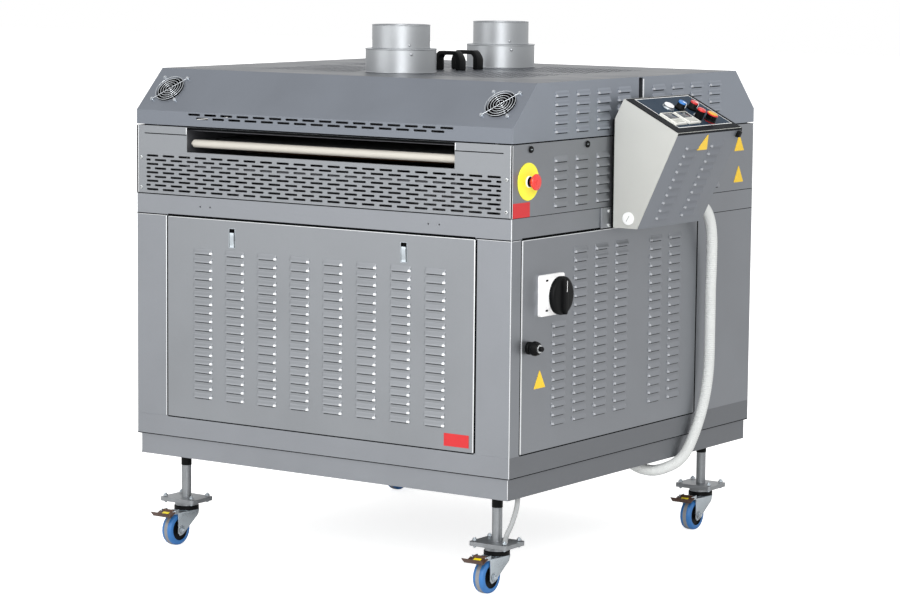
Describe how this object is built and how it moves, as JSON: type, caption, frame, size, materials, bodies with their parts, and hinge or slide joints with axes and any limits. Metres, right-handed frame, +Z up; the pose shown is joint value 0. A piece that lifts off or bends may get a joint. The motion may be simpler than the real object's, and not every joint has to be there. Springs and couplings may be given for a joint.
{
  "type": "reflow oven",
  "caption": "Through-feed reflow oven on castors: louvred lower cabinet, end grilles with a conveyor opening, hinged two-part hood with exhausts, and a side control pod.",
  "frame": {"origin": "on the floor under the middle of the whole outline", "axes": "+Z up, -Y towards the infeed end, +X towards the side with the control pod"},
  "size_m": [1.2994, 1.1476, 1.303],
  "materials": {
    "steel_front": "satin stainless sheet",
    "steel_side": "satin stainless sheet",
    "steel_duct": "bright stainless",
    "zinc": "zinc plated",
    "pod_sheet": "light grey",
    "panel_blue": "dark blue grey",
    "black": "matt black",
    "white": "white",
    "light_grey": "light grey",
    "red": "red",
    "yellow": "yellow",
    "blue": "blue",
    "brown": "brown",
    "tyre_blue": "blue tyre",
    "gear": "grey",
    "belt": "woven mesh",
    "brass_tone": "heat toned tube",
    "inner_steel": "dull inner sheet"
  },
  "bodies": {
    "body": {"base_frame": "steel_side", "corner_posts": "steel_front", "upper_band": "steel_side", "rear_panel": "steel_front", "left_panel": "steel_side", "mid_side_panels": "steel_side", "end_grilles": "steel_front", "fasteners": "black", "conveyor_belt": "belt", "heaters": "brass_tone", "tunnel_shell": "inner_steel", "control_gear": "gear", "pod_shell": "pod_sheet", "pod_mount": "black", "cable_glands": "white", "panel_plate": "panel_blue", "temp_controllers": "light_grey", "conduit": "white", "bonding_lead": "gear", "legs": "zinc", "stop_disc": "yellow"},
    "front_panel": {"front_panel": "steel_front"},
    "side_door": {"side_door": "steel_side", "isolator_plate": "light_grey"},
    "door_lock": {"door_lock": "black"},
    "isolator_knob": {"isolator_knob": "black"},
    "front_hood": {"front_hood": "steel_side", "top_sheet_front": "steel_side", "exhaust_collar_front": "steel_duct", "exhaust_spigot_front": "steel_duct", "lid_handle_front": "black", "fan_guards": "zinc", "fan_housings": "black"},
    "rear_hood": {"rear_hood": "steel_side", "top_sheet_rear": "steel_side", "exhaust_collar_rear": "steel_duct", "exhaust_spigot_rear": "steel_duct", "lid_handle_rear": "black"},
    "fan_rotor_left": {"fan_rotor_left": "black"},
    "fan_rotor_right": {"fan_rotor_right": "black"},
    "infeed_roller": {"infeed_roller": "steel_duct"},
    "outfeed_roller": {"outfeed_roller": "steel_duct"},
    "white_button": {"white_button": "white"},
    "blue_selector": {"blue_selector": "blue"},
    "red_selector": {"red_selector": "red"},
    "red_button": {"red_button": "red"},
    "yellow_knob": {"yellow_knob": "yellow"},
    "stop_button": {"stop_button": "red"},
    "castor_fr": {"castor_fork_fr": "zinc"},
    "wheel_fr": {"castor_wheel_fr": "tyre_blue"},
    "pedal_fr": {"brake_pedal_fr": "brown"},
    "castor_fl": {"castor_fork_fl": "zinc"},
    "wheel_fl": {"castor_wheel_fl": "tyre_blue"},
    "pedal_fl": {"brake_pedal_fl": "brown"},
    "castor_rr": {"castor_fork_rr": "zinc"},
    "wheel_rr": {"castor_wheel_rr": "tyre_blue"},
    "pedal_rr": {"brake_pedal_rr": "brown"},
    "castor_rl": {"castor_fork_rl": "zinc"},
    "wheel_rl": {"castor_wheel_rl": "tyre_blue"},
    "pedal_rl": {"brake_pedal_rl": "brown"}
  },
  "joints": [
    {"name": "front_panel_pull", "type": "slide", "parent": "body", "child": "front_panel", "axis": [0, -1, 0], "range_m": [0, 0.25]},
    {"name": "side_door_hinge", "type": "hinge", "parent": "body", "child": "side_door", "pos_m": [0.45675, 0.24725, 0.582], "axis": [0, 0, 1], "range_deg": [0, 95]},
    {"name": "door_lock_turn", "type": "hinge", "parent": "side_door", "child": "door_lock", "pos_m": [0.46475, -0.48175, 0.578], "axis": [1, 0, 0], "range_deg": [0, 90]},
    {"name": "isolator_turn", "type": "hinge", "parent": "side_door", "child": "isolator_knob", "pos_m": [0.46475, -0.39375, 0.694], "axis": [1, 0, 0], "range_deg": [0, 90]},
    {"name": "front_hood_hinge", "type": "hinge", "parent": "body", "child": "front_hood", "pos_m": [-0.09025, -0.55075, 1.059], "axis": [1, 0, 0], "range_deg": [0, 75]},
    {"name": "rear_hood_hinge", "type": "hinge", "parent": "body", "child": "rear_hood", "pos_m": [-0.09025, 0.56325, 1.059], "axis": [-1, 0, 0], "range_deg": [0, 75]},
    {"name": "fan_spin_left", "type": "hinge", "parent": "front_hood", "child": "fan_rotor_left", "pos_m": [-0.57925, -0.50725, 1.1375], "axis": [0, 0.7071, -0.7071], "continuous": true},
    {"name": "fan_spin_right", "type": "hinge", "parent": "front_hood", "child": "fan_rotor_right", "pos_m": [0.39875, -0.50725, 1.1375], "axis": [0, 0.7071, -0.7071], "continuous": true},
    {"name": "infeed_roller_turn", "type": "hinge", "parent": "body", "child": "infeed_roller", "pos_m": [-0.09025, -0.53275, 1.01], "axis": [1, 0, 0], "continuous": true},
    {"name": "outfeed_roller_turn", "type": "hinge", "parent": "body", "child": "outfeed_roller", "pos_m": [-0.09025, 0.54525, 1.01], "axis": [1, 0, 0], "continuous": true},
    {"name": "white_button_press", "type": "slide", "parent": "body", "child": "white_button", "axis": [-0.452, 0, -0.892], "range_m": [0, 0.004], "stiffness_N_per_m": 600},
    {"name": "red_button_press", "type": "slide", "parent": "body", "child": "red_button", "axis": [-0.452, 0, -0.892], "range_m": [0, 0.004], "stiffness_N_per_m": 600},
    {"name": "blue_selector_turn", "type": "hinge", "parent": "body", "child": "blue_selector", "pos_m": [0.56042, 0.02425, 1.1115], "axis": [0.452, 0, 0.892], "range_deg": [-45, 45]},
    {"name": "red_selector_turn", "type": "hinge", "parent": "body", "child": "red_selector", "pos_m": [0.56399, 0.07625, 1.1097], "axis": [0.452, 0, 0.892], "range_deg": [-45, 45]},
    {"name": "yellow_knob_turn", "type": "hinge", "parent": "body", "child": "yellow_knob", "pos_m": [0.61573, 0.07225, 1.08348], "axis": [0.452, 0, 0.892], "range_deg": [-60, 60]},
    {"name": "stop_button_press", "type": "slide", "parent": "body", "child": "stop_button", "axis": [-1, 0, 0], "range_m": [0, 0.005], "stiffness_N_per_m": 900},
    {"name": "castor_swivel_fr", "type": "hinge", "parent": "body", "child": "castor_fr", "pos_m": [0.37775, -0.47175, 0.103], "axis": [0, 0, 1], "continuous": true},
    {"name": "wheel_roll_fr", "type": "hinge", "parent": "castor_fr", "child": "wheel_fr", "pos_m": [0.37775, -0.51375, 0.04], "axis": [1, 0, 0], "continuous": true},
    {"name": "brake_pedal_press_fr", "type": "hinge", "parent": "castor_fr", "child": "pedal_fr", "pos_m": [0.37775, -0.54075, 0.0885], "axis": [1, 0, 0], "range_deg": [0, 14]},
    {"name": "castor_swivel_fl", "type": "hinge", "parent": "body", "child": "castor_fl", "pos_m": [-0.55825, -0.47175, 0.103], "axis": [0, 0, 1], "continuous": true},
    {"name": "wheel_roll_fl", "type": "hinge", "parent": "castor_fl", "child": "wheel_fl", "pos_m": [-0.55825, -0.51375, 0.04], "axis": [1, 0, 0], "continuous": true},
    {"name": "brake_pedal_press_fl", "type": "hinge", "parent": "castor_fl", "child": "pedal_fl", "pos_m": [-0.55825, -0.54075, 0.0885], "axis": [1, 0, 0], "range_deg": [0, 14]},
    {"name": "castor_swivel_rr", "type": "hinge", "parent": "body", "child": "castor_rr", "pos_m": [0.37775, 0.48425, 0.103], "axis": [0, 0, 1], "continuous": true},
    {"name": "wheel_roll_rr", "type": "hinge", "parent": "castor_rr", "child": "wheel_rr", "pos_m": [0.37775, 0.44225, 0.04], "axis": [1, 0, 0], "continuous": true},
    {"name": "brake_pedal_press_rr", "type": "hinge", "parent": "castor_rr", "child": "pedal_rr", "pos_m": [0.37775, 0.41525, 0.0885], "axis": [1, 0, 0], "range_deg": [0, 14]},
    {"name": "castor_swivel_rl", "type": "hinge", "parent": "body", "child": "castor_rl", "pos_m": [-0.55825, 0.48425, 0.103], "axis": [0, 0, 1], "continuous": true},
    {"name": "wheel_roll_rl", "type": "hinge", "parent": "castor_rl", "child": "wheel_rl", "pos_m": [-0.55825, 0.44225, 0.04], "axis": [1, 0, 0], "continuous": true},
    {"name": "brake_pedal_press_rl", "type": "hinge", "parent": "castor_rl", "child": "pedal_rl", "pos_m": [-0.55825, 0.41525, 0.0885], "axis": [1, 0, 0], "range_deg": [0, 14]}
  ]
}
